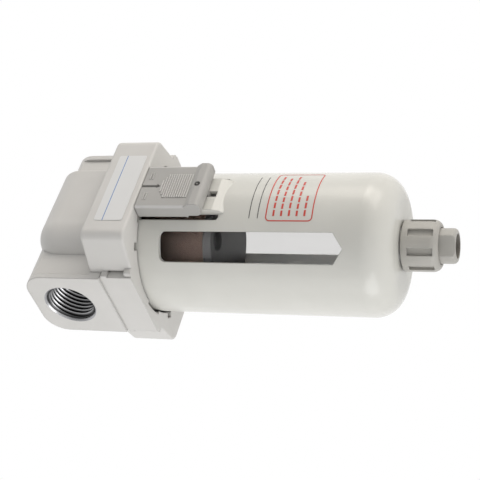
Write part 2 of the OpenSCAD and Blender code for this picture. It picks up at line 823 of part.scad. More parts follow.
// Compression spring between the guard's ledge and the roof of the button's pocket
module lock_spring() {
    sides = 6;
    steps = 14;
    rings = spring_turns * steps;
    wire_r = lock_wire_d / 2;
    mid_r = spring_r - wire_r;
    rise = spring_len - 2 * wire_r;
    points = [for (i = [0:rings], j = [0:sides - 1])
        let (a = i * 360 / steps, b = j * 360 / sides, r = mid_r + wire_r * cos(b))
        [r * cos(a), r * sin(a), wire_r + rise * i / rings + wire_r * sin(b)]];
    walls = [for (i = [0:rings - 1], j = [0:sides - 1])
        let (k = (j + 1) % sides)
        [i * sides + j, (i + 1) * sides + j, (i + 1) * sides + k, i * sides + k]];
    first_cap = [for (j = [0:sides - 1]) j];
    last_cap = [for (j = [sides - 1:-1:0]) rings * sides + j];
    color(steel) translate([0, -spring_y, spring_ledge_z])
        polyhedron(points, concat([first_cap], walls, [last_cap]));
}

// ---------- drain ----------

module drain_barrel() {
    slot_w = 2 * (pin_r + body_clearance);
    color(steel) difference() {
        union() {
            translate([0, 0, outlet_top_z]) cylinder(r = barrel_r, h = barrel_top_z - outlet_top_z);
            translate([0, 0, shoulder_z]) cylinder(r = shoulder_r, h = shoulder_t);
        }
        translate([0, 0, outlet_top_z - cut])
            cylinder(r = barrel_bore_r, h = barrel_top_z - outlet_top_z + 2 * cut);
        translate([0, 0, outlet_top_z - cut])
            cylinder(r = spigot_r + thread_clearance, h = spigot_h + cut + 0.2);
        translate([-barrel_r - cut, -slot_w / 2, track_z])
            cube([2 * (barrel_r + cut), slot_w, track_h + valve_lift]);
        translate([0, 0, knob_ring_z])
            ring(barrel_r + cut, barrel_r - 2 * knob_ring_r - 0.05, 2 * knob_ring_r + 0.4);
    }
}

module drain_gasket() {
    color(rubber) translate([0, 0, bowl_floor_z])
        ring(drain_nut_d / 2 - 0.8, barrel_hole_r, gasket_t);
}

module drain_nut() {
    color(brass) translate([0, 0, drain_nut_z]) difference() {
        cylinder(d = drain_nut_d, h = drain_nut_h, $fn = 6);
        translate([0, 0, -cut]) cylinder(r = barrel_hole_r, h = drain_nut_h + 2 * cut);
    }
}

module knob_o_ring() {
    color(rubber) translate([0, 0, knob_ring_z + knob_ring_r + 0.2])
        rotate_extrude() translate([barrel_r - knob_ring_r, 0]) circle(r = knob_ring_r);
}

// Two rising tracks in the knob's bore, which lift the ends of the cross pin
module cam_tracks() {
    overrun = asin((pin_r + track_play) / barrel_r);
    step = (knob_turn + 2 * overrun) / cam_steps;
    section = [[barrel_bore_r, 0], [track_r, 0], [track_r, track_h], [barrel_bore_r, track_h]];
    points = [for (i = [0:cam_steps], corner = section)
        let (turn = overrun - i * step, rise = -turn * valve_lift / knob_turn)
        [corner.x * cos(turn), corner.x * sin(turn), track_z + rise + corner.y]];
    walls = [for (i = [0:cam_steps - 1], j = [0:3], half = [0, 1])
        let (a = 4 * i + j, b = 4 * i + (j + 1) % 4)
        half == 0 ? [a, b + 4, b] : [a, a + 4, b + 4]];
    last = 4 * cam_steps;
    ends = [[0, 1, 2], [0, 2, 3], [last, last + 2, last + 1], [last, last + 3, last + 2]];
    for (start = [0, 180])
        rotate([0, 0, start]) polyhedron(points, concat(walls, ends));
}

module drain_knob() {
    plain_h = 2.6;
    slot_depth = 1.3;
    corner_h = 3.2;
    corner_w = knob_r - knob_mouth_r - 0.6;
    slot_top_z = knob_top_z - plain_h;
    slot_low_z = knob_z + 1.9;
    color(knob_grey) difference() {
        rotate_extrude() polygon(concat(
            [[0, knob_z], [0, knob_top_z], [knob_r - 0.3, knob_top_z], [knob_r, knob_top_z - 0.3]],
            [for (a = [0:15:90]) [knob_r - corner_w * (1 - cos(a)), knob_z + corner_h * (1 - sin(a))]]));
        translate([0, 0, knob_z - cut]) cylinder(r = knob_bore_r, h = knob_h + 2 * cut);
        translate([0, 0, shoulder_z - 0.3])
            cylinder(r = shoulder_r + 0.3, h = knob_top_z - shoulder_z + 0.3 + cut);
        cam_tracks();
        translate([0, 0, knob_z - cut]) cylinder(r = knob_mouth_r, h = knob_seat_z - knob_z + cut);
        for (i = [0:knob_slots - 1])
            rotate([0, 0, -10 + i * 360 / knob_slots])
                translate([-knob_slot_w / 2, -knob_r - cut, slot_low_z])
                    cube([knob_slot_w, cut + slot_depth, slot_top_z - slot_low_z]);
    }
}

// Threaded outlet with two spanner flats, on a spigot that presses into the barrel
module drain_outlet() {
    outlet_r = outlet_d / 2;
    round_h = 1.6;
    round_w = 1.4;
    color(knob_grey) difference() {
        union() {
            rotate_extrude() polygon(concat(
                [[0, outlet_z], [0, outlet_top_z], [outlet_r, outlet_top_z]],
                [for (a = [0:15:90]) [outlet_r - round_w * (1 - cos(a)), outlet_z + round_h * (1 - sin(a))]]));
            translate([0, 0, outlet_top_z - cut]) cylinder(r = spigot_r, h = spigot_h + cut);
        }
        for (side = [0, 180])
            rotate([0, 0, outlet_turn + side]) translate([-outlet_r, -outlet_r - cut, outlet_z - cut])
                cube([2 * outlet_r, outlet_r + cut - outlet_flats / 2, outlet_top_z - outlet_z + 2 * cut]);
        translate([0, 0, outlet_z - cut]) cylinder(d = outlet_thread_d, h = outlet_thread_len + cut);
        translate([0, 0, outlet_z])
            cylinder(r = outlet_bore_r, h = outlet_top_z + spigot_h - outlet_z + cut);
    }
}

module drain_stem() {
    color(brass) difference() {
        union() {
            translate([0, 0, stem_z]) cylinder(r = stem_r, h = stem_head_z - stem_z);
            translate([0, 0, stem_head_z]) cylinder(r = stem_head_r, h = stem_head_t);
        }
        translate([0, 0, pin_z]) rotate([0, 90, 0])
            cylinder(r = pin_r + thread_clearance, h = 4 * stem_r, center = true);
    }
}

module valve_seal() {
    color(rubber) translate([0, 0, valve_seal_z])
        ring(stem_head_r - 0.2, stem_r + thread_clearance, seal_t);
}

module drain_cross_pin() {
    color(steel) translate([0, 0, pin_z]) rotate([0, 90, 0])
        cylinder(r = pin_r, h = 2 * pin_half_len, center = true);
}

body();
name_label();
swirl_deflector();
deflector_gasket();
tie_stud();
upper_element_gasket();
filter_element();
lower_element_gasket();
baffle();
baffle_nut();
bowl_o_ring();
bowl();
bowl_guard();
lock_button();
lock_spring();
drain_barrel();
drain_gasket();
drain_nut();
drain_knob();
knob_o_ring();
drain_stem();
valve_seal();
drain_cross_pin();
drain_outlet();
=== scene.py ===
import math

import bmesh
import bpy
from mathutils import Matrix, Vector


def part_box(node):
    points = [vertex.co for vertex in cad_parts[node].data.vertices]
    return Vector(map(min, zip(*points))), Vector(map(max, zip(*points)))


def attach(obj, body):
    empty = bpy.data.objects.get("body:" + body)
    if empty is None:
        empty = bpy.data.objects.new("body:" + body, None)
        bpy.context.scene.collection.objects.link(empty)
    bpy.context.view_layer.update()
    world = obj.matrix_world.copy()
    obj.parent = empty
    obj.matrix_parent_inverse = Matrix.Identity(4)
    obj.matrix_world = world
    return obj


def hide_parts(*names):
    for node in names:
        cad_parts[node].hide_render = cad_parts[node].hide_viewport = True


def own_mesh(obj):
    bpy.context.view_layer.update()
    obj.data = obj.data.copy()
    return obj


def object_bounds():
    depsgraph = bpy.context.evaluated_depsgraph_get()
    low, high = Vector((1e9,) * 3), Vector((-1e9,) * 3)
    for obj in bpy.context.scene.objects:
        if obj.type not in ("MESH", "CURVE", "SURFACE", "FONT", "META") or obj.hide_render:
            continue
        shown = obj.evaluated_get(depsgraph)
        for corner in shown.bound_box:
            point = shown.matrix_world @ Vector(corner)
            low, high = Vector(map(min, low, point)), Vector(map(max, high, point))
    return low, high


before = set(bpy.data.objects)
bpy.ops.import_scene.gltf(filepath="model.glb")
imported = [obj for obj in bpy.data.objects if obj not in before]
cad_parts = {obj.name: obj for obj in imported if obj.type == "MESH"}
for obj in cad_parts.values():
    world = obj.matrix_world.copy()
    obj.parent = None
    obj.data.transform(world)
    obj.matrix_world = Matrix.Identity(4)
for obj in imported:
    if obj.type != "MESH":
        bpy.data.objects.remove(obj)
cad_low, cad_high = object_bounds()

MM = 0.001


# ---------------------------------------------------------------- body casting
# The head is an aluminium die casting, painted off-white: tower, two port flanges and the
# collar that takes the bowl. The ports are machined after painting, so their walls are bare
# metal, and the underside keeps the coarser skin of the mould.

def put(tree, kind, inputs=None, **settings):
    """Adds one shader node; inputs holds values or the sockets that feed it."""
    made = tree.nodes.new(kind)
    for name, value in settings.items():
        setattr(made, name, value)
    for name, value in (inputs or {}).items():
        if isinstance(value, bpy.types.NodeSocket):
            tree.links.new(value, made.inputs[name])
        else:
            made.inputs[name].default_value = value
    return made


def calc(tree, operation, first, second=0.0):
    return put(tree, "ShaderNodeMath", {0: first, 1: second}, operation=operation).outputs[0]


def spread(tree, value, low, high, to_low=0.0, to_high=1.0):
    """Maps a value from one range to another, clamped."""
    return put(tree, "ShaderNodeMapRange", {"Value": value, "From Min": low, "From Max": high,
                                            "To Min": to_low, "To Max": to_high}).outputs[0]


def stretch(tree, pattern, to_low=0.0, to_high=1.0):
    """Widens the middle of a noise pattern, where most of it lies, to a full range."""
    return spread(tree, pattern, 0.3, 0.7, to_low, to_high)


def both(tree, first, second):
    """The overlap of two masks."""
    return calc(tree, "MULTIPLY", first, second)


def faint(tree, mask, strength):
    """A mask at part of its strength."""
    return calc(tree, "MULTIPLY", mask, strength)


def blend_colours(tree, factor, first, second):
    made = put(tree, "ShaderNodeMix", {0: factor}, data_type="RGBA")
    for index, colour in ((6, first), (7, second)):
        if isinstance(colour, bpy.types.NodeSocket):
            tree.links.new(colour, made.inputs[index])
        else:
            made.inputs[index].default_value = (*colour, 1.0)
    return made.outputs[2]


def object_place(tree):
    """X, Y and Z of a point, fixed to the piece."""
    return put(tree, "ShaderNodeSeparateXYZ", {0: put(tree, "ShaderNodeTexCoord").outputs["Object"]})


def distance(tree, first, second):
    """How far a point lies from an axis, from its two offsets."""
    square = calc(tree, "ADD", calc(tree, "MULTIPLY", first, first),
                  calc(tree, "MULTIPLY", second, second))
    return calc(tree, "SQRT", square)


def new_finish(name, **settings):
    """A material with only a Principled shader, and its fixed values on their own sockets."""
    material = bpy.data.materials.new(name)
    material.use_nodes = True
    shader = material.node_tree.nodes["Principled BSDF"]
    for key, value in settings.items():
        shader.inputs[key.replace("_", " ")].default_value = value
    return material, material.node_tree, shader


def emboss(tree, shader, height, strength, depth, normal=None):
    """Fine relief from a height, laid over a softened normal where there is one."""
    inputs = {"Strength": strength, "Distance": depth, "Height": height}
    if normal is not None:
        inputs["Normal"] = normal
    tree.links.new(put(tree, "ShaderNodeBump", inputs).outputs[0], shader.inputs["Normal"])


def new_group(name, inputs, outputs):
    """An empty shader node group; inputs are (name, default), outputs are (name, kind)."""
    group = bpy.data.node_groups.new(name, "ShaderNodeTree")
    for label, default in inputs:
        socket = group.interface.new_socket(label, in_out="INPUT", socket_type="NodeSocketFloat")
        socket.default_value = default
    for label, kind in outputs:
        group.interface.new_socket(label, in_out="OUTPUT", socket_type="NodeSocket" + kind)
    return group, put(group, "NodeGroupInput"), put(group, "NodeGroupOutput")


def use_group(tree, group, **values):
    made = put(tree, "ShaderNodeGroup", node_tree=group)
    for label, value in values.items():
        made.inputs[label.replace("_", " ")].default_value = value
    return made


def dress(name, material):
    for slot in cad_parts[name].material_slots:
        slot.material = material


# Corners lose a little paint and carry a painted highlight: a mask and a softened normal near edges
edge_soften, group_in, group_out = new_group(
    "edge_soften", [("Radius", 0.6 * MM), ("Reach", 0.3)],
    [("Mask", "Float"), ("Normal", "Vector")])
bevel = put(edge_soften, "ShaderNodeBevel", {"Radius": group_in.outputs["Radius"]}, samples=4)
true_normal = put(edge_soften, "ShaderNodeNewGeometry").outputs["Normal"]
facing = put(edge_soften, "ShaderNodeVectorMath",
             {0: bevel.outputs[0], 1: true_normal}, operation="DOT_PRODUCT").outputs["Value"]
bend = calc(edge_soften, "SUBTRACT", 1.0, facing)
least_bend = 0.02
bend_share = put(edge_soften, "ShaderNodeMapRange", {
    "Value": bend, "From Min": least_bend, "From Max": group_in.outputs["Reach"]}).outputs[0]
edge_soften.links.new(bend_share, group_out.inputs["Mask"])
edge_soften.links.new(bevel.outputs[0], group_out.inputs["Normal"])

# Skin of a moulded or cast surface: fine grain as height, and a slow change of tone
mould_skin, group_in, group_out = new_group(
    "mould_skin", [("Grain", 1500.0), ("Patch", 60.0)], [("Height", "Float"), ("Tone", "Float")])
skin_place = put(mould_skin, "ShaderNodeTexCoord").outputs["Object"]
fine = put(mould_skin, "ShaderNodeTexNoise", {
    "Vector": skin_place, "Scale": group_in.outputs["Grain"], "Detail": 3.0, "Roughness": 0.6})
slow = put(mould_skin, "ShaderNodeTexNoise", {
    "Vector": skin_place, "Scale": group_in.outputs["Patch"], "Detail": 4.0, "Roughness": 0.55})
mould_skin.links.new(fine.outputs["Fac"], group_out.inputs["Height"])
mould_skin.links.new(slow.outputs["Fac"], group_out.inputs["Tone"])

# Painted shade that darkens inner corners, steps and gaps narrower than Reach
painted_crease_shade, group_in, group_out = new_group(
    "painted_crease_shade", [("Reach", 1.0 * MM)], [("Mask", "Float")])
nearly_shut = 0.35
nearly_open = 0.85
openness = put(painted_crease_shade, "ShaderNodeAmbientOcclusion",
               {"Distance": group_in.outputs["Reach"]}, samples=8)
painted_crease_shade.links.new(
    spread(painted_crease_shade, openness.outputs["AO"], nearly_shut, nearly_open, 1.0, 0.0),
    group_out.inputs["Mask"])

port_axis_z = -16.4 * MM
port_mouth_r = 11.35 * MM
port_end_x = 18.6 * MM
port_dark_x = 33.2 * MM
port_bright_x = 34.4 * MM
socket_r = 30.3 * MM
socket_low_z = -50.15 * MM
socket_high_z = -32.0 * MM


def port_place(tree):
    """Distance from the middle along the ports, and from the ports' axis."""
    place = object_place(tree)
    rise = calc(tree, "SUBTRACT", place.outputs["Z"], port_axis_z)
    return calc(tree, "ABSOLUTE", place.outputs["X"]), distance(tree, rise, place.outputs["Y"])


def bowl_axis_place(tree):
    """Distance from the upright axis of the bowl, and the height."""
    place = object_place(tree)
    return distance(tree, place.outputs["X"], place.outputs["Y"]), place.outputs["Z"]


paint_shaded = (0.585, 0.572, 0.548)
paint_light = (0.625, 0.612, 0.590)
paint_edge_highlight_and_wear = (0.70, 0.69, 0.67)
paint_crease_shade = (0.22, 0.21, 0.20)
socket_painted_shade = (0.11, 0.105, 0.10)
bore_shadow = (0.05, 0.05, 0.05)
bore_metal = (0.46, 0.46, 0.47)

paint, tree, shader = new_finish("cast_paint")
skin = use_group(tree, mould_skin, Grain=1150.0, Patch=45.0)
edges = use_group(tree, edge_soften, Radius=0.9 * MM, Reach=0.25)
shade_in_creases = use_group(tree, painted_crease_shade, Reach=1.3 * MM)
paint_tone = blend_colours(tree, stretch(tree, skin.outputs["Tone"]), paint_shaded, paint_light)
# Edges are lighter: paint worn thin, with a painted highlight
paint_tone = blend_colours(tree, faint(tree, edges.outputs["Mask"], strength=0.35),
                           paint_tone, paint_edge_highlight_and_wear)
# Painted shade darkens the creases, steps and gaps of the casting
paint_tone = blend_colours(tree, faint(tree, shade_in_creases.outputs["Mask"], strength=0.55),
                           paint_tone, paint_crease_shade)

# The wall of the socket for the bowl guard is painted dark, as painted shade in the gap round the
# guard
axis_r, height = bowl_axis_place(tree)
in_socket_shade = both(tree, calc(tree, "LESS_THAN", axis_r, socket_r),
                 both(tree, calc(tree, "GREATER_THAN", height, socket_low_z),
                      calc(tree, "LESS_THAN", height, socket_high_z)))
paint_tone = blend_colours(tree, in_socket_shade, paint_tone, socket_painted_shade)

# The port bores are turned metal, with painted shadow deep inside and bright only at the chamfer
port_x, port_r = port_place(tree)
in_port = both(tree, calc(tree, "LESS_THAN", port_r, port_mouth_r),
               calc(tree, "GREATER_THAN", port_x, port_end_x))
bore_tone = blend_colours(tree, spread(tree, port_x, port_dark_x, port_bright_x),
                          bore_shadow, bore_metal)
tree.links.new(blend_colours(tree, in_port, paint_tone, bore_tone), shader.inputs["Base Color"])
tree.links.new(in_port, shader.inputs["Metallic"])
lathe_place = put(tree, "ShaderNodeCombineXYZ", {"X": port_r, "Y": port_x}).outputs[0]
lathe = put(tree, "ShaderNodeTexNoise", {"Vector": lathe_place, "Scale": 4200.0})
paint_gloss = stretch(tree, skin.outputs["Tone"], 0.42, 0.52)
metal_gloss = stretch(tree, lathe.outputs["Fac"], 0.22, 0.36)
gloss = put(tree, "ShaderNodeMix", {0: in_port, 2: paint_gloss, 3: metal_gloss}).outputs[0]
tree.links.new(gloss, shader.inputs["Roughness"])

# The underside is coarser than the rest
upward = put(tree, "ShaderNodeSeparateXYZ", {
    0: put(tree, "ShaderNodeNewGeometry").outputs["Normal"]}).outputs["Z"]
facing_down = spread(tree, upward, -0.97, -0.6, 1.0, 0.0)
coarseness = spread(tree, facing_down, 0.0, 1.0, 0.10, 0.55)
emboss(tree, shader, skin.outputs["Height"], strength=coarseness, depth=0.16 * MM,
       normal=edges.outputs["Normal"])
dress("body", paint)


# ---------------------------------------------------------------- port threads
# Each port has a parallel pipe thread, cut into the casting after painting: 14 turns to the
# inch, with softened crests, and with the first turn run out by the chamfer at the mouth.

def polish(tree, shader, pattern, brightest, dullest):
    """Roughness that follows a noise pattern between two values."""
    tree.links.new(stretch(tree, pattern, brightest, dullest), shader.inputs["Roughness"])


def link_mesh(name, mesh_maker, body, finish_slot, *materials, smooth=True):
    """Turns a bmesh into an object that rides on a body of the frame."""
    mesh = bpy.data.meshes.new(name)
    bmesh.ops.recalc_face_normals(mesh_maker, faces=mesh_maker.faces)
    for edge in mesh_maker.edges:
        edge.smooth = edge.calc_face_angle(0.0) < math.radians(30)
    mesh_maker.to_mesh(mesh)
    mesh_maker.free()
    for polygon in mesh.polygons:
        polygon.use_smooth = smooth
    made = bpy.data.objects.new(name, mesh)
    bpy.context.scene.collection.objects.link(made)
    for material in materials:
        mesh.materials.append(material)
    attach(made, body)
    return made


def sweep(maker, rings):
    """Joins rings of points, all with the same count, into a solid with two end caps."""
    rows = [[maker.verts.new(point) for point in ring] for ring in rings]
    count = len(rows[0])
    for near, far in zip(rows, rows[1:]):
        for i in range(count):
            k = (i + 1) % count
            maker.faces.new((near[i], near[k], far[k], far[i]))
    maker.faces.new(rows[0])
    maker.faces.new(rows[-1])


thread_pitch = 25.4 / 14 * MM
thread_major = 10.42 * MM
thread_minor = 9.32 * MM
thread_skin = 10.6 * MM
thread_start = 0.76 * MM
thread_end = 15.4 * MM
crest_round = 0.12 * MM
mouth_r = 11.2 * MM
port_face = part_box("body")[1].x
crest_bright_r = thread_minor + 0.1 * MM
crest_fade_r = thread_minor + 0.5 * MM
flank_start_r = thread_minor + 0.3 * MM
flank_end_r = thread_major - 0.1 * MM

flank_shaded_metal = (0.16, 0.16, 0.165)
root_painted_shade = (0.018, 0.018, 0.018)
crest_painted_highlight = (0.62, 0.62, 0.63)
score_metal = (0.1, 0.1, 0.1)

bare_metal, tree, shader = new_finish("machined_aluminium", Metallic=1.0)
port_x, port_r = port_place(tree)
score_place = put(tree, "ShaderNodeCombineXYZ", {"X": port_x, "Y": port_r}).outputs[0]
scores = put(tree, "ShaderNodeTexNoise", {"Vector": score_place, "Scale": 6000.0, "Detail": 3.0})
# Painted highlight on the crests and painted shade darkening towards the roots
crest_highlight = spread(tree, port_r, crest_bright_r, crest_fade_r, 1.0, 0.0)
rootward_shade = spread(tree, port_r, flank_start_r, flank_end_r)
metal_tone = blend_colours(tree, rootward_shade, flank_shaded_metal, root_painted_shade)
metal_tone = blend_colours(tree, crest_highlight, metal_tone, crest_painted_highlight)
metal_tone = blend_colours(tree, stretch(tree, scores.outputs["Fac"], 0.0, 0.3),
                           metal_tone, score_metal)
tree.links.new(metal_tone, shader.inputs["Base Color"])
polish(tree, shader, scores.outputs["Fac"], brightest=0.26, dullest=0.4)
emboss(tree, shader, scores.outputs["Fac"], strength=0.1, depth=0.03 * MM)


def port_thread(name, side):
    """A right-hand thread: one section of the wall swept along the helix."""
    around = 96
    turns = (thread_end - thread_start) / thread_pitch + 1
    section = ((0.0, thread_major), (0.36, thread_minor + crest_round), (0.43, thread_minor),
               (0.49, thread_minor), (0.56, thread_minor + crest_round), (0.92, thread_major),
               (1.0, thread_major), (1.0, thread_skin), (0.0, thread_skin))
    rings = []
    for step in range(round(turns * around) + 1):
        turn = step / around
        ring = []
        for share, r in section:
            depth = thread_start + (turn + share - 1) * thread_pitch
            depth = min(max(depth, thread_start), thread_end)
            r = max(r, mouth_r - depth)
            ring.append((side * (port_face - depth), side * r * math.sin(math.tau * turn),
                         port_axis_z + r * math.cos(math.tau * turn)))
        rings.append(ring)
    maker = bmesh.new()
    sweep(maker, rings)
    return link_mesh(name, maker, "head", "steel", bare_metal)


port_thread("inlet_thread", -1)
port_thread("outlet_thread", 1)


# ---------------------------------------------------------------- name label
# A white vinyl sticker on the collar's front, printed with one coloured rule. The maker's
# words are left out, so the rest of it is bare.

label_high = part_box("name_label")[1]
rule_top = label_high.z - 3.6 * MM
rule_low = label_high.z - 3.95 * MM
vinyl_shaded = (0.67, 0.67, 0.665)
vinyl_light = (0.71, 0.71, 0.705)
rule_blue = (0.10, 0.22, 0.50)

vinyl, tree, shader = new_finish("label_vinyl", Roughness=0.35)
label_z = object_place(tree).outputs["Z"]
on_rule = both(tree, calc(tree, "GREATER_THAN", label_z, rule_low),
               calc(tree, "LESS_THAN", label_z, rule_top))
skin = use_group(tree, mould_skin, Grain=2600.0, Patch=90.0)
tone = blend_colours(tree, skin.outputs["Tone"], vinyl_shaded, vinyl_light)
tree.links.new(blend_colours(tree, on_rule, tone, rule_blue), shader.inputs["Base Color"])
emboss(tree, shader, skin.outputs["Height"], strength=0.08, depth=0.1 * MM)
dress("name_label", vinyl)


# ---------------------------------------------------------------- cartridge in black plastic
# The swirl deflector and the baffle are glass-filled nylon mouldings. Both are held by the
# tie stud, one above and one below the filter element.

nylon_black = (0.070, 0.070, 0.072)
nylon_grey = (0.105, 0.105, 0.107)
nylon_edge_highlight_and_wear = (0.21, 0.21, 0.215)

nylon, tree, shader = new_finish("black_nylon", Roughness=0.48)
skin = use_group(tree, mould_skin, Grain=2200.0, Patch=120.0)
edges = use_group(tree, edge_soften, Radius=0.4 * MM, Reach=0.3)
tone = blend_colours(tree, skin.outputs["Tone"], nylon_black, nylon_grey)
# Edges are lighter: wear with a painted highlight
tone = blend_colours(tree, faint(tree, edges.outputs["Mask"], strength=0.5), tone, nylon_edge_highlight_and_wear)
tree.links.new(tone, shader.inputs["Base Color"])
emboss(tree, shader, skin.outputs["Height"], strength=0.25, depth=0.1 * MM,
       normal=edges.outputs["Normal"])
for name in ("swirl_deflector", "baffle"):
    dress(name, nylon)


# ---------------------------------------------------------------- seals
# Gaskets, O-rings and the valve washer are black nitrile rubber with a dull, faintly
# powdery surface. They are stretched or clamped in place, never glued.

rubber_black = (0.018, 0.018, 0.019)
rubber_powdery = (0.045, 0.045, 0.044)

nitrile, tree, shader = new_finish("nitrile_rubber", Specular_IOR_Level=0.35)
skin = use_group(tree, mould_skin, Grain=3200.0, Patch=200.0)
tree.links.new(blend_colours(tree, skin.outputs["Tone"], rubber_black, rubber_powdery),
               shader.inputs["Base Color"])
polish(tree, shader, skin.outputs["Tone"], brightest=0.55, dullest=0.75)
emboss(tree, shader, skin.outputs["Height"], strength=0.2, depth=0.08 * MM)
for name in ("deflector_gasket", "upper_element_gasket", "lower_element_gasket", "bowl_o_ring",
             "drain_gasket", "knob_o_ring", "valve_seal"):
    dress(name, nitrile)


# ---------------------------------------------------------------- filter element
# Bronze grains a third of a millimetre across, sintered into a tube. Air passes from
# outside to inside, and the grains show as a dark brown, sandy surface.

grain_crown = (0.27, 0.185, 0.150)
grain_gap = (0.13, 0.088, 0.074)
bronze_stain = (0.20, 0.138, 0.113)

bronze, tree, shader = new_finish("sintered_bronze", Metallic=0.35)
grain_place = put(tree, "ShaderNodeTexCoord").outputs["Object"]
grains = put(tree, "ShaderNodeTexVoronoi", {"Vector": grain_place, "Scale": 2900.0})
from_grain = grains.outputs["Distance"]
skin = use_group(tree, mould_skin, Grain=900.0, Patch=110.0)
tone = blend_colours(tree, from_grain, grain_crown, grain_gap)
tone = blend_colours(tree, spread(tree, skin.outputs["Tone"], 0.35, 0.65, 0.0, 0.5),
                     tone, bronze_stain)
tree.links.new(tone, shader.inputs["Base Color"])
tree.links.new(spread(tree, from_grain, 0.0, 0.6, 0.5, 0.8), shader.inputs["Roughness"])
emboss(tree, shader, calc(tree, "SUBTRACT", 1.0, from_grain), strength=0.8, depth=0.2 * MM)
dress("filter_element", bronze)


# ---------------------------------------------------------------- stud, barrel and other steel
# Turned stainless parts: the tie stud, the drain barrel and the cross pin, with fine
# turning marks round them. The wire of the lock spring has the same finish.

steel_shaded = (0.50, 0.50, 0.51)
steel_light = (0.66, 0.66, 0.67)

stainless, tree, shader = new_finish("turned_stainless", Metallic=1.0)
turned_place = put(tree, "ShaderNodeMapping", {
    "Vector": put(tree, "ShaderNodeTexCoord").outputs["Object"], "Scale": (160.0, 160.0, 5200.0)})
turning = put(tree, "ShaderNodeTexNoise", {
    "Vector": turned_place.outputs[0], "Scale": 1.0, "Detail": 3.0}).outputs["Fac"]
tree.links.new(blend_colours(tree, turning, steel_shaded, steel_light), shader.inputs["Base Color"])
polish(tree, shader, turning, brightest=0.22, dullest=0.4)
emboss(tree, shader, turning, strength=0.25, depth=0.04 * MM)
for name in ("tie_stud", "drain_barrel", "drain_cross_pin"):
    dress(name, stainless)


# ---------------------------------------------------------------- brass nuts and valve stem
# Hexagon nuts from drawn bar and a turned stem, bare brass gone slightly dull. The nuts
# screw onto the stud and the barrel.

brass_dull = (0.52, 0.38, 0.16)
brass_light = (0.66, 0.50, 0.24)
brass_edge_highlight_and_wear = (0.78, 0.62, 0.34)

brass, tree, shader = new_finish("drawn_brass", Metallic=1.0)
skin = use_group(tree, mould_skin, Grain=2400.0, Patch=160.0)
edges = use_group(tree, edge_soften, Radius=0.3 * MM, Reach=0.3)
tone = blend_colours(tree, skin.outputs["Tone"], brass_dull, brass_light)
# Edges are lighter: wear with a painted highlight
tree.links.new(blend_colours(tree, edges.outputs["Mask"], tone, brass_edge_highlight_and_wear),
               shader.inputs["Base Color"])
polish(tree, shader, skin.outputs["Tone"], brightest=0.25, dullest=0.42)
emboss(tree, shader, skin.outputs["Height"], strength=0.15, depth=0.05 * MM,
       normal=edges.outputs["Normal"])
for name in ("baffle_nut", "drain_nut", "drain_stem"):
    dress(name, brass)


# ---------------------------------------------------------------- bowl
# A clear polycarbonate moulding that holds the pressure. Its flange rests on the guard and
# its neck carries the O-ring. Faint waves and a trace of haze keep it from looking empty.

clear_bowl, tree, shader = new_finish(
    "clear_polycarbonate", Base_Color=(0.972, 0.968, 0.962, 1.0), Transmission_Weight=1.0, IOR=1.2)
skin = use_group(tree, mould_skin, Grain=700.0, Patch=40.0)
polish(tree, shader, skin.outputs["Tone"], brightest=0.02, dullest=0.07)
emboss(tree, shader, skin.outputs["Tone"], strength=0.04, depth=0.2 * MM)
dress("bowl", clear_bowl)


# ---------------------------------------------------------------- bowl guard
# An off-white nylon moulding round the bowl, with two sight windows and four bayonet lugs.
# Its outside has the fine satin texture of a spark-eroded mould, and its inside is painted
# whiter, as painted light standing in for light that comes through the bowl.

guard_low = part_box("bowl_guard")[0]
guard_inner_r = 27.4 * MM
guard_wall_mid_r = 27.9 * MM
guard_floor_z = guard_low.z + 14 * MM
guard_shaded = (0.606, 0.600, 0.560)
guard_light = (0.648, 0.641, 0.600)
guard_inside_painted_light = (0.90, 0.90, 0.88)
guard_edge_highlight_and_wear = (0.76, 0.755, 0.72)

satin_nylon, tree, shader = new_finish("guard_nylon", Specular_IOR_Level=0.45)
skin = use_group(tree, mould_skin, Grain=2100.0, Patch=34.0)
edges = use_group(tree, edge_soften, Radius=0.6 * MM, Reach=0.3)
tone = blend_colours(tree, stretch(tree, skin.outputs["Tone"]), guard_shaded, guard_light)
axis_r, height = bowl_axis_place(tree)
# The inside is painted whiter, as painted light on the wall behind the bowl
inside_painted_light = both(tree, spread(tree, axis_r, guard_inner_r, guard_wall_mid_r, 1.0, 0.0),
              calc(tree, "GREATER_THAN", height, guard_floor_z))
tone = blend_colours(tree, inside_painted_light, tone, guard_inside_painted_light)
# Edges are lighter: wear with a painted highlight
tone = blend_colours(tree, faint(tree, edges.outputs["Mask"], strength=0.3), tone, guard_edge_highlight_and_wear)
tree.links.new(tone, shader.inputs["Base Color"])
polish(tree, shader, skin.outputs["Tone"], brightest=0.17, dullest=0.25)
emboss(tree, shader, skin.outputs["Height"], strength=0.12, depth=0.1 * MM,
       normal=edges.outputs["Normal"])
dress("bowl_guard", satin_nylon)


# ---------------------------------------------------------------- printing on the guard
# Two black rules and a red frame are pad printed on the front of the guard. In place of
# words the frame holds rows of plain dashes. The ink stands a few hundredths proud.

guard_top_r = 29.2 * MM
guard_low_r = 28.9 * MM
guard_taper_top = -42.6 * MM
guard_taper_low = -141.5 * MM
ink_proud = 0.05 * MM
ink_sunk = 0.08 * MM


def guard_radius(z):
    share = (z - guard_taper_top) / (guard_taper_low - guard_taper_top)
    return guard_top_r + (guard_low_r - guard_top_r) * share


def on_guard(along, z, proud):
    """A point on the guard: along is measured round it from the front towards +X."""
    turn = along / guard_top_r
    r = guard_radius(z) + proud
    return (r * math.sin(turn), -r * math.cos(turn), z)


